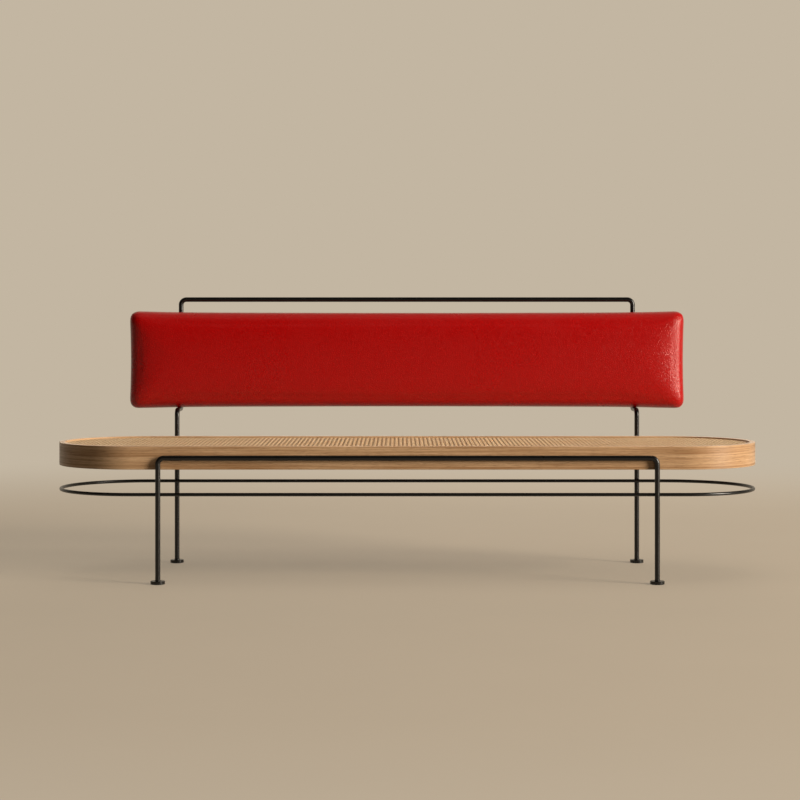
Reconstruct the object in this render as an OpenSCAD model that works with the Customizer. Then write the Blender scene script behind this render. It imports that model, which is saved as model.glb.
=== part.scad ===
// Bench with a cane seat in a long oak hoop, a frame of bent steel rod and a leather back cushion.
// Sizes are in millimetres. +X runs along the bench, -Y is the front and +Z is up.
// The origin is on the floor, under the middle of the whole bench.

/* [Seat hoop] */
// Length of the hoop over its round ends
seat_l = 2100; // [1900:10:2400]
// Depth of the hoop, and so the diameter of its round ends
seat_d = 490; // [450:5:530]
// Height of the hoop's top edge above the floor
seat_h = 400; // [385:5:430]
// Height of the band that the hoop is made of
rim_h = 68; // [60:1:84]
// Thickness of that band
rim_t = 17; // [15:0.5:22]
// Radius that eases the band's edges
rim_ease = 1.5; // [0.5:0.5:3]
// Diameter of the dowels in the hoop's four joints
dowel_d = 8; // [6:0.5:9]
// Length of the dowels
dowel_l = 40; // [30:2:56]
// Distance between the two dowels of a joint
dowel_pitch = 34; // [24:1:40]

/* [Cane seat] */
// How far the cane lies below the hoop's top edge
cane_drop = 4; // [2:0.5:8]
// Thickness of the woven cane sheet
cane_t = 1.6; // [1.2:0.1:2]
// Number of openings along the sheet, whose plain grid stands for the far finer weave
cane_columns = 12; // [8:1:12]
// Number of openings across the sheet
cane_rows = 12; // [6:1:12]
// Width of the sheet between two openings, which leaves it about as open as the weave
cane_bar = 20; // [14:1:24]
// Width of the groove that holds the cane's edge and the reed
groove_w = 5; // [4:0.5:7]
// Depth of that groove below the cane
groove_d = 7; // [5:0.5:9]
// How far the turned-down edge of the cane stays above the floor of the groove
cane_edge_rise = 1; // [0.5:0.5:2]
// How far the crown of the reed stands above the cane
reed_rise = 0.4; // [0:0.1:1]

/* [Seat liner and cross rails] */
// Thickness of the liner inside the hoop
liner_t = 20; // [18:0.5:24]
// Height of the liner
liner_h = 44; // [40:1:50]
// Distance of each outer cross rail from the middle one
cross_pitch = 460; // [410:5:510]
// Thickness of a cross rail
cross_t = 22; // [18:1:28]
// Height of a cross rail at its ends
cross_h = 36; // [32:1:40]
// How deep the top of a cross rail is hollowed, so that the cane can give
cross_dip = 10; // [6:1:14]
// Length of a cross rail's tenon
tenon_l = 12; // [8:1:14]
// Thickness of the tenon
tenon_t = 10; // [8:0.5:12]
// Height of the tenon
tenon_h = 22; // [18:1:26]
// Diameter of the wood screws that hold the liner in the hoop
wood_screw_d = 4; // [3.5:0.5:5]
// Length of the wood screws
wood_screw_l = 30; // [28:1:32]
// How far the line of wood screws lies below the top of the liner
wood_screw_drop = 13.5; // [12:0.5:15]
// Distance from a joint of the hoop to the nearest wood screw
wood_screw_end = 40; // [34:1:46]
// How deep the heads of the wood screws are sunk in the liner
wood_screw_sink = 0.5; // [0.3:0.1:1]

/* [Steel frame] */
// Diameter of the rod of the legs and the back
rod_d = 15; // [13:0.5:17]
// Diameter of the rod of the ring between the legs
ring_rod_d = 10; // [8:0.5:12]
// Radius of the bends, at the middle of the rod
bend_r = 17; // [14:1:24]
// Distance from the end of the hoop to the middle of a leg
leg_inset = 325; // [305:5:430]
// How far the middle of the front bar lies below the hoop's top edge
bar_drop = 34; // [28:1:42]
// Height of the middle of the ring above the floor
ring_z = 259; // [180:1:300]
// Height of the middle of the rods that carry the cushion
jog_z = 481; // [465:1:495]
// How far the rear rods step back under the cushion
jog_reach = 116; // [90:1:150]
// Height of the bench, to the top of the back rail
back_h = 838; // [826:1:900]
// Diameter of the small weld that fills the corner between ring and leg
weld_d = 7; // [4:0.5:9]
// Diameter of the machine screws
screw_d = 5; // [4:0.5:5.5]
// Diameter of the heads of the machine screws
screw_head_d = 9.5; // [8.5:0.5:10.5]
// Height of those heads
screw_head_h = 2.8; // [2.2:0.1:3.2]
// How deep those heads are sunk in the liner
head_sink = 5; // [4:0.5:7]
// How far the machine screws reach into the rod
thread_l = 9; // [7:0.5:11]
// Distance from the middle of a leg to the nearest screw in the front bar
bar_screw_inset = 35; // [30:1:60]
// Distance between the two screws in each rear leg
rear_screw_pitch = 20; // [16:1:22]

/* [Feet] */
// Diameter of the foot discs
foot_d = 42; // [34:1:52]
// Height of a foot with its glide
foot_h = 10; // [9:0.5:16]
// Width of the bevel round the top of a foot disc
foot_bevel = 0.8; // [0.4:0.2:1.6]
// Depth of the socket that the leg stands in
socket_l = 4; // [3:0.5:5]
// Width of the wall of the disc round the glide
foot_wall = 3; // [2:0.5:5]
// Thickness of the plastic glide
glide_t = 3; // [2.5:0.5:4]
// How far the glide stands out under the disc
glide_proud = 1; // [0.5:0.5:1.5]
// Diameter of the peg that holds the glide
peg_d = 6; // [4:0.5:8]

/* [Cushion] */
// How far the cushion reaches past the middle of each upright
cushion_over = 157; // [112:5:172]
// Height of the cushion over its corners, before they are rounded
cushion_h = 311; // [290:1:320]
// Depth of the cushion, from its flat back to its crown
cushion_t = 110; // [96:1:118]
// Radius of the cushion's corners, seen from the front
corner_r = 32; // [26:1:42]
// Radius of the roll round the front of the cushion
front_roll = 38; // [28:1:46]
// Radius of the edge round the back of the cushion
back_roll = 12; // [9:1:16]
// How far the front of the cushion swells between its edges
crown = 14; // [8:1:20]
// How far the top and the bottom are drawn in between the corners
waist = 7; // [4:0.5:9]
// How far the ends are drawn in between the corners
end_waist = 6; // [2:0.5:8]
// Thickness of the leather with its lining
cover_t = 1.6; // [1.2:0.2:2.2]
// Width of the leather that is turned in round the back panel
back_hem = 26; // [22:1:34]
// Thickness of the board in the cushion
board_t = 12; // [9:0.5:15]
// How far the edge of the board lies inside the cushion's outline
board_inset = 22; // [20:1:30]
// Distance between the upper and the lower cushion screw
cushion_screw_pitch = 170; // [120:5:190]
// Depth of the flat seat for a screw head in the upright
spot_l = 3; // [2.5:0.5:4]
// How far the cushion screws reach into the board
board_thread_l = 10; // [7:0.5:10.5]
// Diameter of the flange of a tee nut
tee_flange_d = 19; // [17:0.5:22]
// Thickness of that flange
tee_flange_t = 1.5; // [1.2:0.1:2]
// Diameter of the barrel of a tee nut
tee_barrel_d = 8; // [7.5:0.5:9]
// Length of a tee nut with its flange
tee_l = 9; // [7:0.5:11]

/* [Clearances] */
// Room between wood and painted steel
paint_gap = 0.1; // [0.05:0.05:0.3]
// Room round parts that fit in each other
fit_gap = 0.1; // [0.05:0.05:0.2]
// Room between the cushion and the rods that it lies on
lie_gap = 0.3; // [0.2:0.1:0.6]
// Room round a screw in a plain hole, on the diameter
screw_room = 0.5; // [0.4:0.1:1]

/* [Hidden] */

// Facets of round stock, and of the hoop's large ends
$fn = 48;
big_fn = 180;
// Overlap of a cutting shape past the face that it cuts
over = 1;

// The hoop: two straight runs and two half circles
end_r = seat_d / 2;
run = seat_l / 2 - end_r;
rim_in = end_r - rim_t;
rim_mid = end_r - rim_t / 2;
rim_z = seat_h - rim_h / 2;

// The legs stand against the hoop, and the uprights stand behind them
leg_x = seat_l / 2 - leg_inset;
leg_y = end_r + paint_gap + rod_d / 2;
up_y = leg_y + jog_reach;
leg_foot_z = foot_h - socket_l;
bar_z = seat_h - bar_drop;
top_z = back_h - rod_d / 2;
ring_y = leg_y - rod_d / 2 - ring_rod_d / 2;

// The middle of the seat lies in front of the middle of the whole bench
front_reach = leg_y + foot_d / 2;
back_reach = up_y + rod_d / 2;
seat_y = (front_reach - back_reach) / 2;

// The cane and what holds its edge
cane_top = seat_h - cane_drop;
liner_top = cane_top - cane_t;
groove_in = rim_in - groove_w;
groove_z = liner_top - groove_d;
liner_out = rim_in - fit_gap;
liner_in = rim_in - liner_t;
liner_z = liner_top - liner_h;
liner_mid_z = liner_z + liner_h / 2;
wood_screw_z = liner_top - wood_screw_drop;

// Wood screws stand a seventh of the straight run apart, between the cross rails
fixing_pitch = run / 7;
wood_screw_x = [for (k = [-5 : 2 : 5]) k * fixing_pitch];
end_screw_x = [-run + wood_screw_end, run - wood_screw_end];
bow_screw_a = [-50, 0, 50];
bar_screw_x = [for (k = [-3 : 2 : 3]) k / 3 * (leg_x - bar_screw_inset)];
cross_x = [-cross_pitch, 0, cross_pitch];

// The cushion: how its waist is shared out, its half sizes, back plane and height
waist_power = 8;
end_power = 2;
pad_a = leg_x + cushion_over;
pad_b = cushion_h / 2;
pad_back_y = up_y - rod_d / 2 - paint_gap;
pad_bottom_at_rod = pad_b - drawn_in(leg_x / pad_a, waist, waist_power);
pad_z = jog_z + rod_d / 2 + lie_gap + pad_bottom_at_rod;
board_s = cover_t + fit_gap;
pad_screws = [for (x = [-leg_x, leg_x], z = [-1, 1]) [x, z * cushion_screw_pitch / 2]];

// How far an outline is drawn in at t, which is 0 in the middle of a side and 1 or -1 at its corners
function drawn_in(t, depth, power) = depth * (1 - pow(min(1, abs(t)), power));

// Points of the cushion's outline, anticlockwise seen from the front, before it is drawn in
function corner(cx, cz, start, r) = [for (k = [0 : 5]) let (a = start + 18 * k)
    [cx + r * cos(a), cz + r * sin(a)]];
function pad_outline(a, b, r) = let (cx = a - r, cz = b - r) concat(
    [for (f = [-0.5, 0, 0.5]) [a, f * cz]],
    corner(cx, cz, 0, r),
    [for (f = [0.9, 0.7, 0.4, 0, -0.4, -0.7, -0.9]) [f * cx, b]],
    corner(-cx, cz, 90, r),
    [for (f = [0.5, 0, -0.5]) [-a, f * cz]],
    corner(-cx, -cz, 180, r),
    [for (f = [-0.9, -0.7, -0.4, 0, 0.4, 0.7, 0.9]) [f * cx, -b]],
    corner(cx, -cz, 270, r));

// Rings of the cushion as [inset, depth]: the back edge, the side, the front roll and the crown
function front_depth(d, b, r) = cushion_t - crown * pow(1 - d / b, 2.2)
    - (d < r ? r - sqrt(r * r - (r - d) * (r - d)) : 0);
function pad_rings(off) = let (b = pad_b - off, rb = back_roll - off, rf = front_roll - off) concat(
    [for (a = [0 : 30 : 90]) [rb * (1 - sin(a)), off + rb * (1 - cos(a))]],
    [for (a = [0 : 18 : 90]) let (d = rf * (1 - cos(a))) [d, front_depth(d, b, rf) - off]],
    [for (f = [0.42, 0.6, 0.82]) [f * b, front_depth(f * b, b, rf) - off]]);

// One point of the cushion: the outline point p, moved in by d and drawn in at the waist
function pad_point(p, a, b, d, s) = let (
    u = p[0] / a,
    v = p[1] / b,
    x = u * (a - d) - u * drawn_in(v, end_waist, end_power),
    z = v * (b - d) - v * (1 - d / b) * drawn_in(u, waist, waist_power))
    [x, -s, z];

// The closed form of the cushion, its skin moved in by off. Its flat back lies in the plane y = 0
module pad_form(off) {
    a = pad_a - off;
    b = pad_b - off;
    outline = pad_outline(a, b, corner_r - off);
    rings = pad_rings(off);
    n = len(outline);
    m = len(rings);
    points = [for (ring = rings, p = outline) pad_point(p, a, b, ring[0], ring[1])];
    sides = [for (j = [0 : m - 2], i = [0 : n - 1], half = [0, 1]) let (k = (i + 1) % n)
        half == 0 ? [j * n + i, (j + 1) * n + i, j * n + k] : [j * n + k, (j + 1) * n + i, (j + 1) * n + k]];
    back = [for (i = [0 : n - 1]) i];
    front = [for (i = [n - 1 : -1 : 0]) (m - 1) * n + i];
    polyhedron(points, concat(sides, [back, front]));
}

// Places a shape from the middle of the seat
module at_seat() {
    translate([0, seat_y, 0]) children();
}

// Places a shape from the middle of the cushion's back
module at_pad() {
    at_seat() translate([0, pad_back_y, pad_z]) children();
}

// Turns a shape that is drawn for the rear side into one for the front side
module on_side(side) {
    mirror([0, side < 0 ? 1 : 0, 0]) children();
}

// Turns a shape that is drawn for the right end into one for the left end
module at_end(side) {
    mirror([side < 0 ? 1 : 0, 0, 0]) children();
}

// A rectangle with rounded corners
module eased_rect(w, h, r) {
    translate([r, 0]) square([w - 2 * r, h]);
    translate([0, r]) square([w, h - 2 * r]);
    for (x = [r, w - r], y = [r, h - r]) translate([x, y]) circle(r);
}

// Carries a section along the straight of the rear side. The section is drawn at its distance from the middle
module along_straight() {
    rotate([90, 0, 90]) linear_extrude(2 * run, center = true) children();
}

// Carries the same section round the right end
module round_end() {
    translate([run, 0, 0]) rotate([0, 0, -90]) rotate_extrude(angle = 180, $fn = big_fn) children();
}

// A flat plate with the hoop's outline
module stadium(r, z0, z1) {
    translate([0, 0, z0]) linear_extrude(z1 - z0) {
        square([2 * run, 2 * r], center = true);
        for (x = [-run, run]) translate([x, 0]) circle(r, $fn = big_fn);
    }
}

// A round hole or rod along Y, from y0 to y1
module along_y(d, x, y0, y1, z) {
    translate([x, y0, z]) rotate([-90, 0, 0]) cylinder(d = d, h = y1 - y0);
}

// A machine screw with a low domed head and a hexagon socket. Its head sits on z = 0, and it points down
module machine_screw(length) {
    difference() {
        union() {
            translate([0, 0, -length]) cylinder(d = screw_d, h = length);
            cylinder(d = screw_head_d, h = screw_head_h / 2);
            translate([0, 0, screw_head_h / 2])
                cylinder(d1 = screw_head_d, d2 = 0.6 * screw_head_d, h = screw_head_h / 2);
        }
        translate([0, 0, screw_head_h / 2]) cylinder(d = 0.6 * screw_d, h = screw_head_h, $fn = 6);
    }
}

// A countersunk wood screw, pointing down, with the top of its head on z = 0
module wood_screw() {
    shank_l = wood_screw_l - wood_screw_d;
    translate([0, 0, -wood_screw_l]) cylinder(d1 = 0.3 * wood_screw_d, d2 = wood_screw_d, h = wood_screw_d);
    translate([0, 0, -shank_l]) cylinder(d = wood_screw_d, h = shank_l);
    translate([0, 0, -wood_screw_d / 2])
        cylinder(d1 = wood_screw_d, d2 = 2 * wood_screw_d, h = wood_screw_d / 2);
}

// The hole for a wood screw, clear of it all round and open above its head
module wood_screw_hole() {
    hole_d = wood_screw_d + 2 * fit_gap;
    head_d = 2 * wood_screw_d + 4 * fit_gap;
    translate([0, 0, -wood_screw_l - fit_gap]) cylinder(d = hole_d, h = wood_screw_l + fit_gap);
    translate([0, 0, -wood_screw_d / 2 - fit_gap])
        cylinder(d1 = hole_d, d2 = head_d, h = wood_screw_d / 2 + fit_gap);
    cylinder(d = head_d, h = wood_screw_sink + over);
}

// Puts a wood screw or its hole at each fixing of a straight side, pointing out from the liner
module at_straight_fixings() {
    for (x = concat(wood_screw_x, end_screw_x))
        translate([x, liner_in + wood_screw_sink, wood_screw_z]) rotate([90, 0, 0]) children();
}

// The same round the right end
module at_end_fixings() {
    for (a = bow_screw_a)
        translate([run, 0, wood_screw_z]) rotate([0, 0, a])
            translate([liner_in + wood_screw_sink, 0, 0]) rotate([0, -90, 0]) children();
}

// Where the hoop is screwed to the steel, as [x, z]: the front bar, or the two rear legs
function frame_fixings(side) = side < 0
    ? [for (x = bar_screw_x) [x, bar_z]]
    : [for (x = [-leg_x, leg_x], k = [-1, 1]) [x, liner_mid_z + k * rear_screw_pitch / 2]];
frame_screw_l = liner_t - head_sink + rim_t + paint_gap + thread_l;

// Holes for those screws in the wood, with the sunk seat for each head
module frame_screw_holes(side) {
    for (f = frame_fixings(side)) {
        along_y(screw_d + screw_room, f[0], liner_in - over, end_r + over, f[1]);
        along_y(screw_head_d + 2 * screw_room, f[0], liner_in - over, liner_in + head_sink, f[1]);
    }
}

// Tapped holes for those screws in the steel
module frame_thread_holes(side) {
    for (f = frame_fixings(side))
        along_y(screw_d + fit_gap, f[0], end_r, end_r + paint_gap + thread_l + fit_gap, f[1]);
}

module frame_screws(side) {
    color("dimgray") at_seat() on_side(side) for (f = frame_fixings(side))
        translate([f[0], liner_in + head_sink, f[1]]) rotate([90, 0, 0]) machine_screw(frame_screw_l);
}

// Dowels of the hoop's joints, or with a gap their holes
module dowel_set(gap) {
    for (x = [-run, run], y = [-rim_mid, rim_mid], k = [-1, 1])
        translate([x, y, rim_z + k * dowel_pitch / 2]) rotate([0, 90, 0])
            cylinder(d = dowel_d + 2 * gap, h = dowel_l + 2 * gap, center = true);
}

// A straight rod along Z, from z0 to z1
module rod_up(d, x, y, z0, z1) {
    translate([x, y, z0]) cylinder(d = d, h = z1 - z0);
}

// A quarter bend of the leg rod, from +X to +Y round the origin
module elbow() {
    rotate_extrude(angle = 90) translate([bend_r, 0]) circle(d = rod_d);
}

// The two upper corners of a frame and the bar between them
module bar_with_corners(y, z) {
    for (side = [-1, 1]) at_end(side)
        translate([leg_x - bend_r, y, z - bend_r]) rotate([90, 0, 0]) elbow();
    translate([0, y, z]) rotate([0, 90, 0]) cylinder(d = rod_d, h = 2 * (leg_x - bend_r), center = true);
}

// Front legs and the bar across the front of the hoop, bent from one rod
module front_leg_frame() {
    color([0.05, 0.05, 0.05]) at_seat() on_side(-1) difference() {
        union() {
            for (x = [-leg_x, leg_x]) rod_up(rod_d, x, leg_y, leg_foot_z, bar_z - bend_r);
            bar_with_corners(leg_y, bar_z);
        }
        frame_thread_holes(-1);
    }
}

// Rear legs, the two steps under the cushion and the loop behind it, bent from one rod
module back_frame() {
    color([0.05, 0.05, 0.05]) at_seat() difference() {
        union() {
            for (x = [-leg_x, leg_x]) {
                rod_up(rod_d, x, leg_y, leg_foot_z, jog_z - bend_r);
                translate([x, leg_y + bend_r, jog_z - bend_r]) rotate([90, 0, -90]) elbow();
                along_y(rod_d, x, leg_y + bend_r, up_y - bend_r, jog_z);
                translate([x, up_y - bend_r, jog_z + bend_r]) rotate([-90, 0, 90]) elbow();
                rod_up(rod_d, x, up_y, jog_z + bend_r, top_z - bend_r);
            }
            bar_with_corners(up_y, top_z);
        }
        frame_thread_holes(1);
        for (f = pad_screws) {
            along_y(screw_d + screw_room, f[0], up_y - rod_d, up_y + rod_d, pad_z + f[1]);
            along_y(screw_head_d + screw_room, f[0], back_reach - spot_l, back_reach + over, pad_z + f[1]);
        }
    }
}

// Thin ring between the legs, welded to each of them
module stretcher_ring() {
    color([0.05, 0.05, 0.05]) at_seat() {
        for (side = [-1, 1]) at_end(side) translate([run, 0, ring_z]) rotate([0, 0, -90])
            rotate_extrude(angle = 180, $fn = big_fn) translate([ring_y, 0]) circle(d = ring_rod_d);
        for (side = [-1, 1]) on_side(side) difference() {
            union() {
                translate([0, ring_y, ring_z]) rotate([0, 90, 0])
                    cylinder(d = ring_rod_d, h = 2 * run, center = true);
                for (x = [-leg_x, leg_x]) along_y(weld_d, x, ring_y, leg_y, ring_z);
            }
            for (x = [-leg_x, leg_x]) rod_up(rod_d, x, leg_y, ring_z - weld_d, ring_z + weld_d);
        }
    }
}

// Foot disc with a socket for the leg and a recess for the glide
module foot(sx, sy) {
    color([0.05, 0.05, 0.05]) at_seat() translate([sx * leg_x, sy * leg_y, 0]) difference() {
        rotate_extrude() polygon([[0, glide_proud], [foot_d / 2, glide_proud],
            [foot_d / 2, foot_h - foot_bevel], [foot_d / 2 - foot_bevel, foot_h], [0, foot_h]]);
        translate([0, 0, leg_foot_z]) cylinder(d = rod_d + 2 * fit_gap, h = socket_l + over);
        cylinder(d = foot_d - 2 * foot_wall, h = glide_t);
        cylinder(d = peg_d + 2 * fit_gap, h = foot_h);
    }
}

// Plastic glide with a peg, pressed into the foot from below
module glide(sx, sy) {
    color([0.12, 0.12, 0.12]) at_seat() translate([sx * leg_x, sy * leg_y, 0]) {
        cylinder(d = foot_d - 2 * foot_wall - 2 * fit_gap, h = glide_t);
        cylinder(d = peg_d, h = leg_foot_z - fit_gap);
    }
}

// Section of the oak band
module rim_section() {
    translate([rim_in, seat_h - rim_h]) eased_rect(rim_t, rim_h, rim_ease);
}

// Straight oak rail of the hoop
module rim_rail(side) {
    color("peru") at_seat() on_side(side) difference() {
        along_straight() rim_section();
        dowel_set(fit_gap);
        at_straight_fixings() wood_screw_hole();
        frame_screw_holes(side);
    }
}

// Half-round end of the hoop, bent and laminated
module rim_bow(side) {
    color("peru") at_seat() at_end(side) difference() {
        round_end() rim_section();
        dowel_set(fit_gap);
        at_end_fixings() wood_screw_hole();
    }
}

module rim_dowels() {
    color("burlywood") at_seat() dowel_set(0);
}

// Section of the liner, with the groove for the cane's edge along its outer top corner
module liner_section() {
    polygon([[liner_in, liner_z], [liner_out, liner_z], [liner_out, groove_z],
        [groove_in, groove_z], [groove_in, liner_top], [liner_in, liner_top]]);
}

// Straight liner with mortises for the cross rails
module liner_rail(side) {
    color("tan") at_seat() on_side(side) difference() {
        along_straight() liner_section();
        at_straight_fixings() wood_screw_hole();
        frame_screw_holes(side);
        for (x = cross_x)
            translate([x - tenon_t / 2 - fit_gap, liner_in - over, liner_mid_z - tenon_h / 2 - fit_gap])
                cube([tenon_t + 2 * fit_gap, tenon_l + fit_gap + over, tenon_h + 2 * fit_gap]);
    }
}

// Laminated liner of a round end
module liner_bow(side) {
    color("tan") at_seat() at_end(side) difference() {
        round_end() liner_section();
        at_end_fixings() wood_screw_hole();
    }
}

module liner_screws() {
    color("gold") at_seat() {
        for (side = [-1, 1]) on_side(side) at_straight_fixings() wood_screw();
        for (side = [-1, 1]) at_end(side) at_end_fixings() wood_screw();
    }
}

// Cross rail with a hollowed top and a tenon at each end
module cross_rail(x) {
    half = liner_in - fit_gap;
    dip_r = (half * half + cross_dip * cross_dip) / (2 * cross_dip);
    color("tan") at_seat() translate([x, 0, 0]) {
        difference() {
            translate([-cross_t / 2, -half, liner_top - cross_h]) cube([cross_t, 2 * half, cross_h]);
            translate([0, 0, liner_top - cross_dip + dip_r]) rotate([0, 90, 0])
                cylinder(r = dip_r, h = cross_t + 2 * over, center = true, $fn = big_fn);
        }
        for (side = [-1, 1]) on_side(side)
            translate([-tenon_t / 2, half, liner_mid_z - tenon_h / 2]) cube([tenon_t, tenon_l, tenon_h]);
    }
}

// Openings of the cane sheet: slots inside the liner, the outer ones cut short to follow its round ends
module cane_openings() {
    free_y = liner_in - cane_bar / 2;
    pitch_x = 2 * (run + free_y) / cane_columns;
    pitch_y = 2 * free_y / cane_rows;
    for (row = [0 : cane_rows - 1]) {
        y = (row - (cane_rows - 1) / 2) * pitch_y;
        far_y = abs(y) + (pitch_y - cane_bar) / 2;
        end_x = run + sqrt(free_y * free_y - far_y * far_y);
        for (column = [0 : cane_columns - 1]) {
            x = (column - (cane_columns - 1) / 2) * pitch_x;
            from_x = max(x - (pitch_x - cane_bar) / 2, -end_x);
            to_x = min(x + (pitch_x - cane_bar) / 2, end_x);
            if (to_x - from_x > 2 * cane_bar)
                translate([from_x, y - (pitch_y - cane_bar) / 2]) square([to_x - from_x, pitch_y - cane_bar]);
        }
    }
}

// Woven cane sheet, with its edge turned down into the groove
module cane_panel() {
    edge_in = groove_in + fit_gap;
    color("wheat") at_seat() difference() {
        stadium(edge_in + cane_t, groove_z + cane_edge_rise, cane_top);
        stadium(edge_in, groove_z, liner_top);
        translate([0, 0, liner_top - over]) linear_extrude(height = cane_t + 2 * over) cane_openings();
    }
}

// Reed that wedges the cane in its groove, all round the seat
module cane_spline() {
    reed_in = groove_in + cane_t + 2 * fit_gap;
    reed_w = rim_in - fit_gap - reed_in;
    reed_top = cane_top + reed_rise;
    color("burlywood") at_seat() {
        for (side = [-1, 1]) on_side(side) along_straight() reed_section(reed_in, reed_w, reed_top);
        for (side = [-1, 1]) at_end(side) round_end() reed_section(reed_in, reed_w, reed_top);
    }
}

// Section of the reed: square below and half round on top
module reed_section(x, w, top) {
    translate([x, groove_z]) square([w, top - w / 2 - groove_z]);
    translate([x + w / 2, top - w / 2]) circle(d = w);
}

// Board that stiffens the cushion, with seats for the tee nuts in its front
module cushion_board() {
    w = 2 * (pad_a - board_inset);
    h = 2 * (pad_b - board_inset);
    flange_s = board_s + board_t - tee_flange_t - fit_gap;
    color("burlywood") at_pad() difference() {
        translate([-w / 2, -board_s, -h / 2]) rotate([90, 0, 0]) linear_extrude(board_t)
            eased_rect(w, h, corner_r / 2);
        for (f = pad_screws) {
            along_y(tee_barrel_d + 2 * fit_gap, f[0], -board_s - board_t - over, over, f[1]);
            along_y(tee_flange_d + 2 * fit_gap, f[0], -board_s - board_t - over, -flange_s, f[1]);
        }
    }
}

// Tee nuts that take the cushion screws
module cushion_tee_nuts() {
    front = board_s + board_t;
    color("silver") at_pad() for (f = pad_screws) difference() {
        union() {
            along_y(tee_flange_d, f[0], -front, tee_flange_t - front, f[1]);
            along_y(tee_barrel_d, f[0], -front, min(tee_l, board_t) - front, f[1]);
        }
        along_y(screw_d + fit_gap, f[0], -front - over, over, f[1]);
    }
}

// Block of foam that wraps the board
module cushion_foam() {
    w = 2 * (pad_a - board_inset + fit_gap);
    h = 2 * (pad_b - board_inset + fit_gap);
    color("lightyellow") at_pad() difference() {
        pad_form(cover_t + lie_gap);
        translate([-w / 2, over, -h / 2]) rotate([90, 0, 0])
            linear_extrude(board_s + board_t + fit_gap + over) eased_rect(w, h, corner_r / 2);
    }
}

// Outline of the panel that closes the cushion's back
module back_panel_plate(gap, s0, s1) {
    w = 2 * (pad_a - back_hem + gap);
    h = 2 * (pad_b - waist - back_hem + gap);
    translate([-w / 2, -s0, -h / 2]) rotate([90, 0, 0]) linear_extrude(s1 - s0)
        eased_rect(w, h, corner_r / 2);
}

// Leather cover: front, sides and the hem round the back
module cushion_cover() {
    color("firebrick") at_pad() difference() {
        pad_form(0);
        pad_form(cover_t);
        back_panel_plate(fit_gap, -over, cover_t + over);
    }
}

module cushion_back_panel() {
    color("firebrick") at_pad() difference() {
        back_panel_plate(0, 0, cover_t);
        for (f = pad_screws) along_y(screw_d + screw_room, f[0], -cover_t - over, over, f[1]);
    }
}

// Screws through the uprights into the tee nuts
module cushion_screws() {
    head_y = back_reach - spot_l;
    length = head_y - pad_back_y + board_s + board_thread_l;
    color("dimgray") at_seat() for (f = pad_screws)
        translate([f[0], head_y, pad_z + f[1]]) rotate([-90, 0, 0]) machine_screw(length);
}

front_leg_frame();
back_frame();
stretcher_ring();
foot(-1, -1);  // foot_front_left
foot(1, -1);  // foot_front_right
foot(-1, 1);  // foot_rear_left
foot(1, 1);  // foot_rear_right
glide(-1, -1);  // glide_front_left
glide(1, -1);  // glide_front_right
glide(-1, 1);  // glide_rear_left
glide(1, 1);  // glide_rear_right
rim_rail(-1);  // rim_front_rail
rim_rail(1);  // rim_rear_rail
rim_bow(-1);  // rim_left_bow
rim_bow(1);  // rim_right_bow
rim_dowels();
liner_rail(-1);  // liner_front
liner_rail(1);  // liner_rear
liner_bow(-1);  // liner_left
liner_bow(1);  // liner_right
liner_screws();
cross_rail(cross_x[0]);  // cross_rail_left
cross_rail(cross_x[1]);  // cross_rail_middle
cross_rail(cross_x[2]);  // cross_rail_right
cane_panel();
cane_spline();
frame_screws(-1);  // front_bar_screws
frame_screws(1);  // rear_leg_screws
cushion_board();
cushion_tee_nuts();
cushion_foam();
cushion_cover();
cushion_back_panel();
cushion_screws();
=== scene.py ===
# %% [markdown]
# # A cane bench, finished in Blender
#
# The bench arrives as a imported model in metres: steel rods, an oak hoop with its liner, a board and foam
# for the cushion, and all their screws. Those pieces have their true shapes, so they only need finishes.
# Two pieces are still plain there, the woven cane and the leather cover, so both are made anew here.
# Each step first says what the real thing is, then how Blender can make it and why this way was taken.

# %% Load the frame
import math

import bpy
import numpy as np
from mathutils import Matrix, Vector
from mathutils.bvhtree import BVHTree


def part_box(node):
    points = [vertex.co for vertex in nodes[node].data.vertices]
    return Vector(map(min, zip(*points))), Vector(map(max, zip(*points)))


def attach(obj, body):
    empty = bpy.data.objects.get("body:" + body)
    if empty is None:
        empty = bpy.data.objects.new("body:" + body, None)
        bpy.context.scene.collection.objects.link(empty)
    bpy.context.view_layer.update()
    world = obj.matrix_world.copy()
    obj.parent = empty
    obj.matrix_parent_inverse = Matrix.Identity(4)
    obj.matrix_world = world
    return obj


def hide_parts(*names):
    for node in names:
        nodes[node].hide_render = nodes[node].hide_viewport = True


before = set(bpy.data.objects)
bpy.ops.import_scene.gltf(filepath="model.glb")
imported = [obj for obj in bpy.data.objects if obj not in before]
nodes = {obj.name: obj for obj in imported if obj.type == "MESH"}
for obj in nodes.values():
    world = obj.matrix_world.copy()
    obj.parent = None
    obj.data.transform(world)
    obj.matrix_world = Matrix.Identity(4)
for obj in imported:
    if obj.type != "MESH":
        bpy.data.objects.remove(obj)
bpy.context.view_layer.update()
print("pieces in the frame:", len(nodes))

# %% [markdown]
# ## Sizes that the finishes need
#
# The seat is a stadium: two straight runs with a half circle at each end. The grain of the oak and the
# weave of the cane both follow it, so its run, its radius and its middle are read from the frame once.

# %% Measure the seat
MM = 0.001
bow_low, bow_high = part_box("rim_right_bow")
end_r = (bow_high.y - bow_low.y) / 2
run = bow_high.x - end_r
seat_y = (bow_high.y + bow_low.y) / 2
rail_low, rail_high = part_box("rim_front_rail")
rim_t = rail_high.y - rail_low.y
rim_in = end_r - rim_t
print(f"straight run {2 * run:.3f} m, end radius {end_r:.3f} m, middle at y {seat_y:.4f} m")

# %% [markdown]
# ## Colours and nodes
#
# Colours are written as the sRGB hex values that a paint card or a picture editor gives. Blender's
# shaders work in linear light, so one function turns them. A material is a small tree of nodes, and one
# helper adds a node and fills its inputs. An input gets either a plain value or another node's output.

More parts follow.
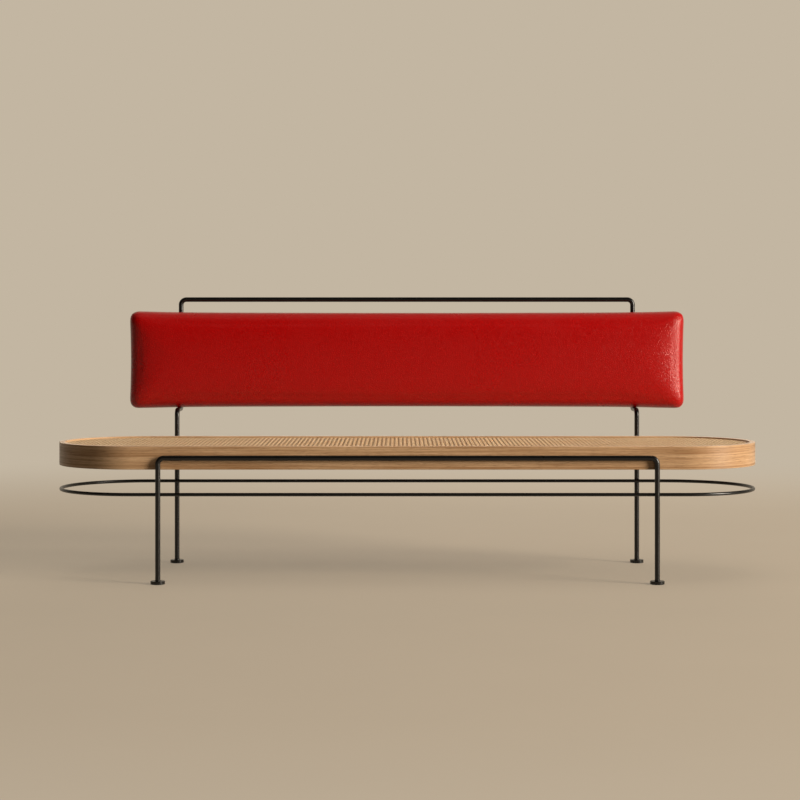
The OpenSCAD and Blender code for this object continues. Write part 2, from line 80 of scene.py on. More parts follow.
# %% Helpers for materials
def colour(code):
    """sRGB hex to linear RGBA: c / 12.92 below 0.04045, and else ((c + 0.055) / 1.055) to the power 2.4."""
    parts = np.array([int(code[k:k + 2], 16) for k in (0, 2, 4)]) / 255
    linear = np.where(parts <= 0.04045, parts / 12.92, ((parts + 0.055) / 1.055) ** 2.4)
    return (*linear.tolist(), 1.0)


def wire(tree, node, inputs):
    """Gives each named input of a node a value, or links it to the socket that is given for it."""
    for key, value in inputs.items():
        if isinstance(value, bpy.types.NodeSocket):
            tree.links.new(value, node.inputs[key])
        else:
            node.inputs[key].default_value = value


def add(tree, kind, inputs=None, **settings):
    """Adds a node of that kind with its settings and its inputs."""
    node = tree.nodes.new("ShaderNode" + kind)
    for name, value in settings.items():
        setattr(node, name, value)
    wire(tree, node, inputs or {})
    return node


def begin(name):
    """A new material, its tree and its shader."""
    material = bpy.data.materials.new(name)
    material.use_nodes = True
    return material, material.node_tree, material.node_tree.nodes["Principled BSDF"]


def finish(material, *names):
    """Puts the material in every slot of the named nodes."""
    for name in names:
        for place in nodes[name].material_slots:
            place.material = material

# %% [markdown]
# ## Steel rod with powder coat
#
# The legs, the back loop and the ring are mild steel rod, bent, welded and powder coated in black. The
# powder melts into a skin with a soft gloss and a faint orange peel, which spread a highlight into a
# soft stripe along the rod. Black paint reflects only a few per cent of the light, so the gloss is what
# shows its shape. A noise of about a millimetre makes the peel, and a wider one varies the gloss.

# %% Powder-coated steel
def powder_coated_steel():
    """Peel: noise of about 1.2 mm, lifted 0.05 mm at a strength of 0.02, which makes 0.001 mm. Roughness
    and colour: a noise of about 70 mm between two ends."""
    material, tree, shader = begin("powder coated steel, semi-gloss black")
    place = add(tree, "TexCoord").outputs["Object"]
    peel = add(tree, "TexNoise", {"Vector": place, "Scale": 800.0, "Detail": 2.0})
    cloud = add(tree, "TexNoise", {"Vector": place, "Scale": 14.0, "Detail": 3.0})
    gloss = add(tree, "MapRange", {"Value": cloud.outputs["Fac"], "From Min": 0.3, "From Max": 0.7,
                                   "To Min": 0.27, "To Max": 0.33})
    tint = add(tree, "Mix", {0: cloud.outputs["Fac"], 6: colour("050505"), 7: colour("0a0909")},
               data_type="RGBA")
    bump = add(tree, "Bump", {"Strength": 0.02, "Distance": 0.05 * MM, "Height": peel.outputs["Fac"]})
    wire(tree, shader, {"Base Color": tint.outputs[2], "Roughness": gloss.outputs[0],
                        "Specular IOR Level": 0.5, "Normal": bump.outputs["Normal"]})
    return material


coat = powder_coated_steel()
feet = [f"foot_{end}_{side}" for end in ("front", "rear") for side in ("left", "right")]
finish(coat, "front_leg_frame", "back_frame", "stretcher_ring", *feet)
print("coated:", 3 + len(feet), "pieces")

# %% [markdown]
# The ring is welded to each leg, and each leg to its disc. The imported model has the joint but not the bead,
# the ring of small ripples that the weld pool leaves as it is moved round. Each bead here is a torus whose
# thickness ripples. At the ring it also bends, to lie in the hollow between two crossed rods.

# %% Pieces, beads and their faces
def piece(name, points, faces, material):
    """A smooth mesh object at the origin, from an array of points and lists of their numbers."""
    mesh = bpy.data.meshes.new(name)
    mesh.from_pydata(points, [], faces)
    mesh.shade_smooth()
    mesh.materials.append(material)
    made = bpy.data.objects.new(name, mesh)
    bpy.context.scene.collection.objects.link(made)
    return made


def bead(centre, ahead, up, big_r, small_r, bend, ripples):
    """Points of a torus, 4 rows of 6 per ripple. Its line is centre + big_r * (cos t * x + sin t * up) +
    bend * (0.6 cos(t)^2 - 0.9 sin(t)^2) * ahead, and its thickness small_r * (0.9 + 0.1 cos(ripples * t))."""
    t = np.linspace(0, 2 * math.pi, 4 * ripples, endpoint=False)[:, None, None]
    turn = np.linspace(0, 2 * math.pi, 6, endpoint=False)[None, :, None]
    out = np.cos(t) * (1, 0, 0) + np.sin(t) * up
    line = centre + big_r * out + bend * (0.6 * np.cos(t) ** 2 - 0.9 * np.sin(t) ** 2) * ahead
    return line + small_r * (0.9 + 0.1 * np.cos(ripples * t)) * (np.cos(turn) * out + np.sin(turn) * ahead)


def torus_faces(rows, sides, first):
    """Four-sided faces of a grid that closes on itself both ways."""
    corner = first + np.arange(rows * sides).reshape(rows, sides)
    ahead, turned = np.roll(corner, -1, axis=0), np.roll(corner, -1, axis=1)
    return np.stack([corner, turned, np.roll(turned, -1, axis=0), ahead], axis=-1).reshape(-1, 4).tolist()

# %% Weld beads
LEG_R = 7.5 * MM
SKY, BACK = np.array((0, 0, 1)), np.array((0, 1, 0))
ring_z = sum(corner.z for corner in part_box("stretcher_ring")) / 2
points, faces = [], []
for name in feet:
    low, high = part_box(name)
    x, y, top = (low.x + high.x) / 2, (low.y + high.y) / 2, high.z
    way = np.array((0, math.copysign(1, y - seat_y), 0))
    touch = np.array((x, y, ring_z)) - way * LEG_R
    at_ring = bead(touch, way, SKY, big_r=4.4 * MM, small_r=1.6 * MM, bend=1 * MM, ripples=9)
    at_disc = bead(np.array((x, y, top)), SKY, BACK, big_r=8 * MM, small_r=1.3 * MM, bend=0, ripples=16)
    for made in (at_ring, at_disc):
        faces += torus_faces(*made.shape[:2], sum(map(len, points)))
        points.append(made.reshape(-1, 3))
welds = piece("weld_beads", np.concatenate(points), faces, coat)
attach(welds, "root")
print("weld beads:", len(points), "with", len(faces), "faces")

# %% [markdown]
# ## Wood
#
# The hoop is oak, the liner and the cross rails are beech. All wood here is cut or bent so that its grain
# runs along the piece, so one function makes every wood, and only the way of measuring a place changes.
# On the hoop, the first coordinate is the distance along the band, also round its ends, where the strips
# are bent. That is the clamped x, plus the end radius times the angle turned. Noise is stretched
# far along that coordinate and stays narrow across it, which gives streaks. A second, finer one is cut off
# at a threshold, which leaves the short dark pores of the wood.

# %% Where a point lies on a piece of wood
def along_band(tree):
    """(distance along the band, distance out from the middle line, height), in metres."""
    at = add(tree, "SeparateXYZ", {0: add(tree, "TexCoord").outputs["Object"]})
    straight = add(tree, "Clamp", {"Value": at.outputs[0], "Min": -run, "Max": run}).outputs[0]
    past = add(tree, "Math", {0: at.outputs[0], 1: straight}, operation="SUBTRACT").outputs[0]
    front = add(tree, "Math", {0: seat_y, 1: at.outputs[1]}, operation="SUBTRACT").outputs[0]
    angle = add(tree, "Math", {0: past, 1: front}, operation="ARCTAN2").outputs[0]
    along = add(tree, "Math", {0: angle, 1: end_r, 2: straight}, operation="MULTIPLY_ADD").outputs[0]
    spoke = add(tree, "CombineXYZ", {0: past, 1: front}).outputs[0]
    out = add(tree, "VectorMath", {0: spoke}, operation="LENGTH").outputs["Value"]
    return add(tree, "CombineXYZ", {0: along, 1: out, 2: at.outputs[2]}).outputs[0]


def along_x(tree):
    """The place itself, for a piece that runs along the bench."""
    return add(tree, "TexCoord").outputs["Object"]


def along_y(tree):
    """The place turned a quarter, for a piece that runs from front to back."""
    turn = (0, 0, math.pi / 2)
    return add(tree, "Mapping", {0: add(tree, "TexCoord").outputs["Object"], "Rotation": turn}).outputs[0]

# %% A wood, from its three tones
def wood(name, place_of, light, dark, pore, pore_share=0.5, glue_from=None, glue_step=1.0):
    """Streaks 350 mm x 5 mm and 120 mm x 1.6 mm over clouds 900 mm x 18 mm, and pores 22 mm x 1.1 mm. Real
    pores are 0.3 mm wide, and are drawn wider to show. Bent pieces get a glue line at every glue_step
    outwards from glue_from."""
    material, tree, shader = begin(name)
    place = place_of(tree)

    def stretched(length, width, detail):
        scale = (1 / length, 1 / width, 1 / width)
        moved = add(tree, "Mapping", {"Vector": place, "Scale": scale}).outputs[0]
        return add(tree, "TexNoise", {"Vector": moved, "Scale": 1.0, "Detail": detail}).outputs["Fac"]

    streak = stretched(0.35, 5 * MM, 2.0)
    thin = stretched(0.12, 1.6 * MM, 2.0)
    cloud = stretched(0.9, 18 * MM, 2.0)
    fine = stretched(22 * MM, 1.1 * MM, 1.0)
    some = add(tree, "Math", {0: thin, 1: 0.6, 2: streak}, operation="MULTIPLY_ADD").outputs[0]
    both = add(tree, "Math", {0: cloud, 1: 0.6, 2: some}, operation="MULTIPLY_ADD").outputs[0]
    tone = add(tree, "MapRange", {"Value": both, "From Min": 0.87, "From Max": 1.33}).outputs[0]
    pores = add(tree, "MapRange", {"Value": fine, "From Min": 0.56, "From Max": 0.72,
                                   "To Max": pore_share}).outputs[0]
    body = add(tree, "Mix", {0: tone, 6: colour(light), 7: colour(dark)}, data_type="RGBA").outputs[2]
    if glue_from is not None:
        out = add(tree, "SeparateXYZ", {0: place}).outputs[1]
        steps = add(tree, "Math", {0: out, 1: 1 / glue_step, 2: 0.5 - glue_from / glue_step},
                    operation="MULTIPLY_ADD").outputs[0]
        share = add(tree, "Math", {0: steps, 1: 1.0}, operation="PINGPONG").outputs[0]
        line = add(tree, "MapRange", {"Value": share, "From Min": 0.0, "From Max": 0.12,
                                      "To Min": 0.55, "To Max": 0.0}).outputs[0]
        body = add(tree, "Mix", {0: line, 6: body, 7: colour(pore)}, data_type="RGBA").outputs[2]
    skin = add(tree, "Mix", {0: pores, 6: body, 7: colour(pore)}, data_type="RGBA").outputs[2]
    rough = add(tree, "MapRange", {"Value": tone, "To Min": 0.34, "To Max": 0.46}).outputs[0]
    bump = add(tree, "Bump", {"Strength": 0.5, "Distance": 0.15 * MM, "Height": pores}, invert=True)
    wire(tree, shader, {"Base Color": skin, "Roughness": rough, "Normal": bump.outputs["Normal"],
                        "Specular IOR Level": 0.25, "Sheen Weight": 0.4, "Sheen Roughness": 0.4,
                        "Sheen Tint": colour("fff8ee")})
    return material

# %% [markdown]
# The hoop's rails are sawn from the board and its ends are laminated from thin strips bent round a form,
# so only the ends show glue lines on their upper edge. Oiled oak has a warm, fairly even tone with short
# dark pores. Beech is pinker and closer, with smaller flecks, and inside the seat it stays unfinished.

# %% Oak for the hoop, beech for what is inside it
OAK = {"light": "d6b088", "dark": "a27850", "pore": "75502f"}
BEECH = {"light": "cfae88", "dark": "b8926a", "pore": "9a7350", "pore_share": 0.3}
BIRCH = {"light": "d8bd94", "dark": "c2a074", "pore": "a5825a", "pore_share": 0.2}
hoop_strip, liner_strip = rim_t / 5, 4 * MM
liner_out = (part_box("liner_right")[1].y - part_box("liner_right")[0].y) / 2
liner_in = liner_out - (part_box("liner_front")[1].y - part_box("liner_front")[0].y)

finish(wood("oak board, oiled", along_band, **OAK), "rim_front_rail", "rim_rear_rail")
finish(wood("oak strips, bent and oiled", along_band, **OAK, glue_from=rim_in, glue_step=hoop_strip),
       "rim_left_bow", "rim_right_bow")
finish(wood("beech board", along_band, **BEECH), "liner_front", "liner_rear")
finish(wood("beech strips, bent", along_band, **BEECH, glue_from=liner_in, glue_step=liner_strip),
       "liner_left", "liner_right")
finish(wood("beech rail", along_y, **BEECH), "cross_rail_left", "cross_rail_middle", "cross_rail_right")
finish(wood("beech dowel", along_x, **BEECH), "rim_dowels")
finish(wood("birch plywood", along_x, **BIRCH), "cushion_board")
print(f"glue lines every {hoop_strip / MM:.1f} mm in the hoop and {liner_strip / MM:.1f} mm in the liner")

# %% [markdown]
# ## Small hardware, foam and glides
#
# Most of these sit in the dark of a recess, yet each has its own surface: blackened machine screws, zinc
# plated wood screws and tee nuts, moulded nylon glides and open-celled foam. They share one shape of
# material, a base colour clouded by noise and a rough skin whose bump has the size of its grit or cells.

# %% Metals, nylon and foam
def clouded(name, light, dark, metal, rough, grain, lift):
    """Colour: noise of four grains between two tones. Bump: noise of one grain, lifted by lift."""
    material, tree, shader = begin(name)
    place = add(tree, "TexCoord").outputs["Object"]
    cloud = add(tree, "TexNoise", {"Vector": place, "Scale": 0.25 / grain, "Detail": 3.0}).outputs["Fac"]
    grit = add(tree, "TexNoise", {"Vector": place, "Scale": 1 / grain, "Detail": 2.0}).outputs["Fac"]
    tint = add(tree, "Mix", {0: cloud, 6: colour(light), 7: colour(dark)}, data_type="RGBA")
    bump = add(tree, "Bump", {"Strength": 0.4, "Distance": lift, "Height": grit})
    wire(tree, shader, {"Base Color": tint.outputs[2], "Metallic": metal, "Roughness": rough,
                        "Normal": bump.outputs["Normal"]})
    return material


black_oxide = clouded("machine screw steel, black oxide", "2a2a2b", "19191a", 1.0, 0.4, 1 * MM, 0.02 * MM)
zinc = clouded("zinc plated steel", "c9c8bf", "a8a79c", 1.0, 0.32, 1.5 * MM, 0.02 * MM)
nylon = clouded("nylon glide, moulded black", "232323", "1a1a1a", 0.0, 0.6, 0.8 * MM, 0.03 * MM)
foam = clouded("polyurethane foam, open cells", "e8ddb4", "d9cb9c", 0.0, 0.95, 1.2 * MM, 0.4 * MM)
finish(black_oxide, "front_bar_screws", "rear_leg_screws", "cushion_screws")
finish(zinc, "liner_screws", "cushion_tee_nuts")
finish(nylon, *[name.replace("foot", "glide") for name in feet])
finish(foam, "cushion_foam")

# %% [markdown]
# ## Cane
#
# Seat cane is the bark of rattan, split into strips about 2 mm wide. The bark side is smooth and a little
# glossy, straw coloured, with fine lengthwise fibres and a darker ring at each old leaf joint. Every strip
# comes from another stem, so its tone differs a little from its neighbours. Its cut edges are darker. The
# low places of the weave are painted darker as well, as painted shade in the hollows under the strips that
# cross above them. The material reads an attribute that the weave writes on each strip: the distance along
# it, the place across it and its tone.
# The reed round the edge is the core of the same plant, so it is duller and has no such attribute.

# %% Cane and reed materials
cane_low, cane_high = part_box("cane_panel")
sheet_top = cane_high.z
strip_w, strip_t = 2.2 * MM, 0.5 * MM


def cane_bark():
    """Tone from the strip, fibres as noise 30 mm x 0.5 mm, a ring every 0.23 m along the strip, edges from
    0.6 to 1 of the half width, and hollows from 0.4 mm to 1.1 mm below the sheet's top."""
    material, tree, shader = begin("rattan cane, split bark")
    strand = add(tree, "Attribute", attribute_name="strand").outputs["Vector"]
    along, across, tone = add(tree, "SeparateXYZ", {0: strand}).outputs
    fibre_at = add(tree, "Mapping", {"Vector": strand, "Scale": (1 / 0.03, 1 / (0.5 * MM), 40.0)}).outputs[0]
    fibre = add(tree, "TexNoise", {"Vector": fibre_at, "Scale": 1.0, "Detail": 2.0}).outputs["Fac"]
    turn = add(tree, "Math", {0: along, 1: 0.23}, operation="PINGPONG").outputs[0]
    ring = add(tree, "MapRange", {"Value": turn, "From Min": 0.0, "From Max": 2.5 * MM,
                                  "To Min": 0.5, "To Max": 0.0}).outputs[0]
    pale = add(tree, "Mix", {0: tone, 6: colour("ffe9c4"), 7: colour("f0cf9e")}, data_type="RGBA").outputs[2]
    lined = add(tree, "MapRange", {"Value": fibre, "From Min": 0.45, "From Max": 0.8, "To Max": 0.45})
    worn = add(tree, "Mix", {0: lined.outputs[0], 6: pale, 7: colour("c0965f")}, data_type="RGBA").outputs[2]
    ringed = add(tree, "Mix", {0: ring, 6: worn, 7: colour("8a5c34")}, data_type="RGBA").outputs[2]
    side = add(tree, "Math", {0: across}, operation="ABSOLUTE").outputs[0]
    edge = add(tree, "MapRange", {"Value": side, "From Min": 0.3 * strip_w, "From Max": 0.5 * strip_w,
                                  "To Max": 0.6}).outputs[0]
    height = add(tree, "SeparateXYZ", {0: add(tree, "TexCoord").outputs["Object"]}).outputs[2]
    # Painted shade: a strip is darker the lower it lies below the sheet's top, for the shade in the hollows
    # of the weave.
    hollow = add(tree, "MapRange", {"Value": height, "From Min": sheet_top - 0.4 * MM,
                                    "From Max": sheet_top - 1.1 * MM, "To Max": 0.75}).outputs[0]
    dark = add(tree, "Math", {0: edge, 1: hollow}, operation="MAXIMUM").outputs[0]
    # 96602e is the tone of the darker cut edges and of the painted shade in the hollows.
    skin = add(tree, "Mix", {0: dark, 6: ringed, 7: colour("96602e")}, data_type="RGBA").outputs[2]
    bump = add(tree, "Bump", {"Strength": 0.3, "Distance": 0.05 * MM, "Height": fibre})
    wire(tree, shader, {"Base Color": skin, "Roughness": 0.38, "Normal": bump.outputs["Normal"]})
    return material


cane = cane_bark()
REED = {"light": "d9b381", "dark": "c2965f", "pore": "9c6f42", "pore_share": 0.25}
finish(wood("rattan reed", along_band, **REED), "cane_spline")
print(f"strips {strip_w / MM:.1f} x {strip_t / MM:.1f} mm, top of the sheet at {sheet_top:.4f} m")

# %% [markdown]
# ## The weave
#
# The sheet is half-inch webbing, woven in six directions of strips: pairs along the seat, pairs across it
# and single strips on both diagonals, which leave eight-sided holes. It could be one plane with a picture
# of holes, but from this low camera the strips hide each other, and only real strips do that rightly.
#
# Each strip is a flat section of five points carried along a line. Its height only matters where it meets
# others. At a crossing of two pairs the strips go over and under in turn, as in plain weave, and the
# crosswise ones bend most, because the loom pulls the lengthwise ones straight. One diagonal
# rides over the crosswise pairs and dives under the lengthwise ones, and the other does the reverse. So
# every line gets its heights at a few stations in each pitch, and runs straight between them.

# %% Sizes of the weave
cane_r = (cane_high.y - cane_low.y) / 2 - 0.1 * MM
pitch, pair_gap, flat_half = 12.7 * MM, 1.5 * MM, 2.1 * MM
lengthwise_lift, crosswise_lift, diagonal_lift = 0.14 * MM, 0.42 * MM, 0.56 * MM
weave_z = sheet_top - diagonal_lift - strip_t / 2
reach_x = run + cane_r
cells = np.arange(-math.ceil(reach_x / pitch), math.ceil(reach_x / pitch)) + 0.5
rng = np.random.default_rng(12)
print("cells along the seat:", len(cells))

# %% The lines of the weave
def reach(start, way):
    """How far each line goes from its start before it leaves the seat, by halving the span 40 times."""
    low, high = np.zeros(len(start)), np.full(len(start), 2 * reach_x)
    for _ in range(40):
        middle = (low + high) / 2
        at = start + middle[:, None] * way
        inside = np.hypot(np.maximum(np.abs(at[:, 0]) - run, 0), at[:, 1]) < cane_r
        low, high = np.where(inside, middle, low), np.where(inside, high, middle)
    return low


def woven_lines(start, way, stations, heights):
    """From each start, a line both ways to the seat's edge: start + t * way, with t at both ends and at
    each station between them, and the height taken from the stations. A station is a value of the
    coordinate that way goes along, x or else y."""
    way = np.array(way, float)
    axis = 0 if way[0] else 1
    lines = []
    for first, back, ahead in zip(start, reach(start, -way), reach(start, way)):
        t = stations - first[axis]
        kept = t[(t > MM - back) & (t < ahead - MM)]
        kept = np.concatenate([[-back], kept, [ahead]])
        lines.append(np.column_stack([first + kept[:, None] * way, np.interp(kept, t, heights)]))
    return lines


def pair_lines(side, lengthwise):
    """The lines of one strip of every pair, apart from those within a strip's width of the edge. Stations
    are the crossings, and the height there is the lift times the sides of both strips, with a minus for
    the lengthwise one, which makes them swap."""
    lift = -lengthwise_lift if lengthwise else crosswise_lift
    middles = cells * pitch + side * pair_gap
    middles = middles[np.abs(middles) < (cane_r if lengthwise else reach_x) - strip_w]
    start = np.column_stack([0 * middles, middles] if lengthwise else [middles, 0 * middles])
    stations = (cells[:, None] * pitch + pair_gap * np.array([-1, 1])).ravel()
    heights = np.tile([-1, 1], len(cells)) * side * lift
    return woven_lines(start, (1, 0) if lengthwise else (0, 1), stations, heights)


def diagonal_lines(slope, half):
    """The lines x - slope * y = (k + 1/2) * pitch of the left (-1) or right (+1) half of the seat. Each
    starts at its point nearest to the seat's middle line, and those that miss the seat are left out. It
    stays high or low, in turn, from flat_half before to flat_half after each half pitch."""
    c = (np.arange(-4, len(cells) + 4) - len(cells) // 2 + 0.5) * pitch
    c = c[c * half > 0]
    past = c - np.clip(c, -run, run)
    past, c = past[np.abs(past) < 1.4 * cane_r], c[np.abs(past) < 1.4 * cane_r]
    start = np.column_stack([c - past / 2, -slope * past / 2])
    turns = np.arange(-2 * len(cells), 2 * len(cells) + 1)
    stations = (turns[:, None] * pitch / 2 + flat_half * np.array([-1, 1])).ravel()
    heights = np.repeat(np.where(turns % 2, 1, -1) * slope * diagonal_lift, 2)
    return woven_lines(start, (1, slope), stations, heights)

# %% [markdown]
# A strip's section is domed on the bark side and slightly keeled below. It is carried along its line as a
# grid of points, rows along the line and five columns round the section, for all points at once. The two
# ends are closed with a five-sided face. The attribute for the material is filled in the same pass.

# %% Strips from lines
SECTION = np.array([(0.5, -0.1), (0.27, 0.42), (-0.27, 0.42), (-0.5, -0.1), (0, -0.5)]) * (strip_w, strip_t)
STEM = 5.0


def tube_faces(rows, sides, first=0):
    """Faces of a closed tube of rows x sides points: four-sided ones round it, and one at each end."""
    corner = first + np.arange(rows * sides).reshape(rows, sides)
    turned = np.roll(corner, -1, axis=1)
    walls = np.stack([corner[:-1], turned[:-1], turned[1:], corner[1:]], axis=-1).reshape(-1, 4)
    return walls.tolist() + [corner[0, ::-1].tolist(), corner[-1].tolist()]


def weave_piece(name, lines, way):
    """One mesh for all strips of a direction: point = line + across * side + up * z. Each strip starts at
    a random place on a stem, which has that length in metres, and has a random tone."""
    side = np.array([-way[1], way[0], 0]) / math.hypot(*way)
    points, faces, strand, count = [], [], [], 0
    for line in lines:
        centre = line + (0, seat_y, weave_z)
        points.append(centre[:, None] + SECTION[None, :, :1] * side + SECTION[None, :, 1:] * (0, 0, 1))
        length = np.concatenate([[0], np.cumsum(np.linalg.norm(np.diff(line, axis=0), axis=1))])
        told = np.empty((len(line), len(SECTION), 3))
        told[..., 0] = length[:, None] + STEM * rng.random()
        told[..., 1] = SECTION[:, 0]
        told[..., 2] = rng.random()
        strand.append(told.reshape(-1, 3))
        faces += tube_faces(len(line), len(SECTION), count)
        count += points[-1].shape[0] * len(SECTION)
    made = piece(name, np.concatenate([p.reshape(-1, 3) for p in points]), faces, cane)
    told = made.data.attributes.new("strand", "FLOAT_VECTOR", "POINT")
    told.data.foreach_set("vector", np.concatenate(strand).ravel())
    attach(made, "root")
    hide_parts("cane_panel")
    print(f"{name}: {len(lines)} strips, {len(faces)} faces")

# %% Weave the seat
for side, word in ((-1, "first"), (1, "second")):
    weave_piece(f"cane_lengthwise_{word}", pair_lines(side, True), (1, 0))
    weave_piece(f"cane_crosswise_{word}", pair_lines(side, False), (0, 1))
for half, place in ((-1, "left"), (1, "right")):
    weave_piece(f"cane_diagonal_forward_{place}", diagonal_lines(1, half), (1, 1))
    weave_piece(f"cane_diagonal_back_{place}", diagonal_lines(-1, half), (1, -1))

# %% [markdown]
# ## Leather
#
# The cushion is covered in pigmented cow hide with a pressed pebble grain. Pigment makes it an even, deep
# red, and the pebbles break up its soft gloss into speckles. They are 5 mm wide, which is coarse, but the
# speckles in the photograph have that size. The distance to the edge of a Voronoi
# cell gives each pebble its dome and the crease round it. The creases are painted a little darker, as
# painted shade.

# %% Leather and thread
def grained_leather():
    """Height: the distance to the edge of cells of 5 mm, on a place bent up to 4 mm by noise, plus a noise
    of 1 mm and one of 9 mm, which is what milling the hide in a drum leaves."""
    material, tree, shader = begin("pigmented leather, pebble grain")
    place = add(tree, "TexCoord").outputs["Object"]
    bend = add(tree, "TexNoise", {"Vector": place, "Scale": 90.0, "Detail": 2.0}).outputs["Color"]
    bent = add(tree, "VectorMath", {0: bend, 1: (4 * MM, 4 * MM, 4 * MM), 2: place},
               operation="MULTIPLY_ADD").outputs[0]
    cell = add(tree, "TexVoronoi", {"Vector": bent, "Scale": 1 / (5 * MM)}, feature="DISTANCE_TO_EDGE")
    dome = add(tree, "MapRange", {"Value": cell.outputs["Distance"], "From Min": 0.0, "From Max": 0.34},
               interpolation_type="SMOOTHSTEP").outputs[0]
    fine = add(tree, "TexNoise", {"Vector": place, "Scale": 900.0, "Detail": 2.0}).outputs["Fac"]
    milled = add(tree, "TexNoise", {"Vector": place, "Scale": 110.0, "Detail": 2.0}).outputs["Fac"]
    some = add(tree, "Math", {0: fine, 1: 0.35, 2: dome}, operation="MULTIPLY_ADD").outputs[0]
    height = add(tree, "Math", {0: milled, 1: 0.5, 2: some}, operation="MULTIPLY_ADD").outputs[0]
    cloud = add(tree, "TexNoise", {"Vector": place, "Scale": 7.0, "Detail": 3.0}).outputs["Fac"]
    hide = add(tree, "Mix", {0: cloud, 6: colour("be0303"), 7: colour("b60303")}, data_type="RGBA").outputs[2]
    # Painted shade: the creases between the pebbles are darker, a80404 against the hide's red.
    skin = add(tree, "Mix", {0: dome, 6: colour("a80404"), 7: hide}, data_type="RGBA").outputs[2]
    rough = add(tree, "MapRange", {"Value": cloud, "From Min": 0.3, "From Max": 0.7,
                                   "To Min": 0.26, "To Max": 0.32}).outputs[0]
    bump = add(tree, "Bump", {"Strength": 0.68, "Distance": 0.5 * MM, "Height": height})
    wire(tree, shader, {"Base Color": skin, "Roughness": rough, "Normal": bump.outputs["Normal"],
                        "Specular IOR Level": 0.5, "Specular Tint": colour("ffe4e0")})
    return material


leather = grained_leather()
finish(leather, "cushion_back_panel")
thread = clouded("waxed polyester thread", "a01410", "7c0d0b", 0.0, 0.5, 0.6 * MM, 0.1 * MM)

# %% [markdown]
# ## The cushion's form
#
# The cover is sewn over a block of foam on a board. Seen from the front it is a long rectangle with round
# corners, whose long sides draw in a little between the corners, because there the foam gives way to the
# pull of the leather. The front swells to a crown and rolls over to the sides.
#
# It is worked out as rings. The outline is a rounded rectangle, and each ring is that outline moved in by
# d, at a depth s from the back. A point (u, v) of the outline, as shares of its half sizes, is drawn in at
# the waist by an amount that fades towards the corners. So the form is a function of two parameters.

# %% Rings of the cushion
pad_low, pad_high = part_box("cushion_cover")
pad_z = (pad_low.z + pad_high.z) / 2
pad_y = pad_high.y
pad_depth = pad_high.y - pad_low.y

# Radii of the corners and of the rolls in front and behind, and the height of the crown
CORNER, ROLL, BACK_ROLL, CROWN = 28 * MM, 30 * MM, 12 * MM, 14 * MM
# How far the long sides and the ends draw in, and how far the hem lies in from the back
WAIST, END_WAIST, HEM_SINK = 7 * MM, 6 * MM, 0.8 * MM
CROWN_POWER, GRID_STEP = 2.2, 5 * MM


def drawn_in(t, depth, power):
    """depth * (1 - |t| ** power): full in the middle of a side, nothing at its corners."""
    return depth * (1 - np.abs(t) ** power)


def outline(a, b, r, step):
    """A rounded rectangle with half sizes a and b and corners of radius r, anticlockwise, as (x, z):
    at each corner a quarter circle, and after it the straight side that follows."""
    turn = np.linspace(0, math.pi / 2, round(r * math.pi / 2 / step) + 1, endpoint=False)
    parts = []
    for k, (cx, cz) in enumerate([(a - r, b - r), (r - a, b - r), (r - a, r - b), (a - r, r - b)]):
        angle = turn + k * math.pi / 2
        parts.append(np.column_stack([cx + r * np.cos(angle), cz + r * np.sin(angle)]))
        end = (k + 1) * math.pi / 2
        length = 2 * (b - r if k % 2 else a - r)
        share = np.linspace(0, 1, round(length / step), endpoint=False)[:, None]
        along = np.array([-math.sin(end), math.cos(end)])
        parts.append((cx + r * math.cos(end), cz + r * math.sin(end)) + share * length * along)
    return np.concatenate(parts)


def pad_points(a, b, flat, d, s):
    """Points of the ring with inset d and depth s, for the outline points flat:
    x = u * (a - d) - u * drawn_in(v), z = v * (b - d) - v * (1 - d / b) * drawn_in(u), y = -s."""
    u, v = flat[:, 0] / a, flat[:, 1] / b
    d, s = np.broadcast_arrays(np.asarray(d, float)[..., None], np.asarray(s, float)[..., None])
    x = u * (a - d) - u * drawn_in(v, END_WAIST, 2)
    z = v * (b - d) - v * (1 - d / b) * drawn_in(u, WAIST, 8)
    return np.stack([x, pad_y - s + 0 * x, pad_z + z], axis=-1)


def pad_rings(b, depth, step):
    """(d, s) of each ring: quarter circle at the back, straight side, quarter circle and crown in front.
    The front lies at depth - crown * (1 - d / b) ** power, less the roll's r - sqrt(r2 - (r - d)2)."""
    a = np.linspace(0, math.pi / 2, 7)
    back = np.column_stack([BACK_ROLL * (1 - np.sin(a)), BACK_ROLL * (1 - np.cos(a))])
    d = np.concatenate([ROLL * (1 - np.cos(np.linspace(0, math.pi / 2, 12))),
                        np.arange(ROLL + step, 0.985 * b, step)])
    dip = ROLL - np.sqrt(ROLL ** 2 - np.maximum(ROLL - d, 0) ** 2)
    front = np.column_stack([d, depth - CROWN * (1 - d / b) ** CROWN_POWER - dip])
    side = np.arange(BACK_ROLL + step, front[0, 1], step)
    return np.concatenate([back, np.column_stack([0 * side, side]), front])


def pad_form(shrink):
    """The closed form, everywhere about that much inside the modelled cover: its points, its faces and the
    half sizes of its outline. A trial ring tells how much narrower the waist makes it than its corners."""
    half_x, half_z = (pad_high.x - pad_low.x) / 2, (pad_high.z - pad_low.z) / 2
    trial = pad_points(half_x, half_z, outline(half_x, half_z, CORNER, GRID_STEP), 0, 0)
    a, b = 2 * half_x - trial[:, 0].max(), 2 * half_z - (trial[:, 2].max() - pad_z)
    a, b = a - shrink, b - shrink
    flat = outline(a, b, CORNER - shrink, GRID_STEP)
    d, s = pad_rings(b, pad_depth - shrink, GRID_STEP).T
    grid = pad_points(a, b, flat, d, np.maximum(s, HEM_SINK))
    return grid.reshape(-1, 3), tube_faces(*grid.shape[:2]), (a, b)

